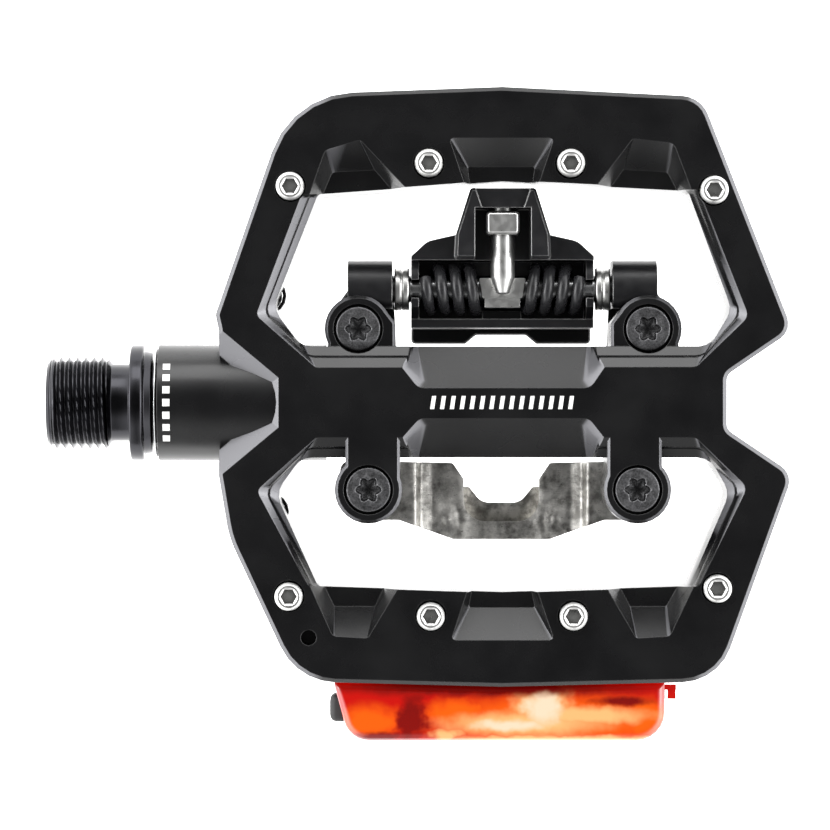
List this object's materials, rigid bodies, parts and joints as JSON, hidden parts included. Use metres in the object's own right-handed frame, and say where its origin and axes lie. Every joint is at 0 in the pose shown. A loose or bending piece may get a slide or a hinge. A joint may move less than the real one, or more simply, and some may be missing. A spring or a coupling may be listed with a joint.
{
  "type": "clipless pedal",
  "caption": "Right-hand platform bicycle pedal with pins on one flat side, a sprung cleat clamp on the other and a slide-in rear light.",
  "frame": {"origin": "on the spindle axis, where the spindle flange meets the crank", "axes": "+X along the spindle, away from the crank; +Y towards the sprung claw's end; +Z out of the flat, pinned side"},
  "size_m": [0.1135, 0.0999, 0.0277],
  "materials": {
    "satin_black_casting": "die cast, satin black paint",
    "gloss_black_steel": "turned and black plated, glossy",
    "black_steel": "satin black",
    "spring_steel": "blackened spring wire",
    "dark_screw_steel": "dark zinc",
    "bright_steel": "bright zinc or turned steel",
    "polished_steel": "tumbled and nickel plated",
    "bearing_steel": "ground",
    "black_rubber": "moulded",
    "black_nylon": "moulded",
    "bronze": "sintered",
    "red_lens": "clear red moulding",
    "circuit_board": "lacquered",
    "diode": "moulded",
    "cell_sleeve": "shrink sleeve"
  },
  "bodies": {
    "spindle": {"spindle": "gloss_black_steel", "spindle_nut": "bearing_steel", "outer_bearing_a_inner_ring": "bearing_steel", "outer_bearing_b_inner_ring": "bearing_steel"},
    "platform": {"platform": "satin_black_casting", "dust_ring": "bright_steel", "spindle_seal": "black_rubber", "retaining_collar": "black_nylon", "spindle_bush": "bronze", "outer_bearing_a_outer_ring": "bearing_steel", "outer_bearing_b_outer_ring": "bearing_steel", "outer_bearing_a_balls": "bearing_steel", "outer_bearing_b_balls": "bearing_steel", "grip_pin_1": "bright_steel", "grip_pin_2": "bright_steel", "grip_pin_3": "bright_steel", "grip_pin_4": "bright_steel", "grip_pin_5": "bright_steel", "grip_pin_6": "bright_steel", "grip_pin_7": "bright_steel", "grip_pin_8": "bright_steel", "underside_pin_1": "black_steel", "underside_pin_2": "black_steel", "underside_pin_3": "black_steel", "underside_pin_4": "black_steel", "bracket_screw_1": "dark_screw_steel", "bracket_screw_2": "dark_screw_steel", "cleat_plate_screw_1": "dark_screw_steel", "cleat_plate_screw_2": "dark_screw_steel", "claw_bracket": "black_steel", "cleat_plate": "polished_steel", "claw_axle": "bright_steel", "claw_washer_inboard": "bright_steel", "claw_washer_outboard": "bright_steel", "claw_spring_inboard": "spring_steel", "claw_spring_outboard": "spring_steel"},
    "claw": {"claw": "black_steel", "spring_bridge": "bright_steel", "tension_nut": "bright_steel"},
    "tension_screw": {"tension_screw": "bright_steel"},
    "rear_light": {"light_lens": "red_lens", "light_carrier": "black_nylon", "light_cell": "cell_sleeve", "charging_socket": "bright_steel", "light_board": "circuit_board", "light_diode_1": "diode", "light_diode_2": "diode", "light_diode_3": "diode"},
    "light_button": {"light_button": "black_rubber"}
  },
  "joints": [
    {"name": "pedal_spin", "type": "hinge", "parent": "spindle", "child": "platform", "pos_m": [0, 0, 0], "axis": [1, 0, 0], "continuous": true},
    {"name": "claw_release", "type": "hinge", "parent": "platform", "child": "claw", "pos_m": [0.0572, 0.0176, -0.004], "axis": [1, 0, 0], "range_deg": [0, 14], "stiffness_Nm_per_rad": 4, "springref_deg": -22.92, "deforming": ["claw_spring_inboard", "claw_spring_outboard"]},
    {"name": "tension_turn", "type": "hinge", "parent": "claw", "child": "tension_screw", "pos_m": [0.0572, 0.026, 0.0009], "axis": [0, 1, 0], "range_deg": [0, 1080]},
    {"name": "light_release", "type": "slide", "parent": "platform", "child": "rear_light", "axis": [0, -1, 0], "range_m": [0, 0.009]},
    {"name": "button_press", "type": "slide", "parent": "rear_light", "child": "light_button", "axis": [1, 0, 0], "range_m": [0, 0.0008], "stiffness_N_per_m": 600, "springref_m": -0.001}
  ]
}
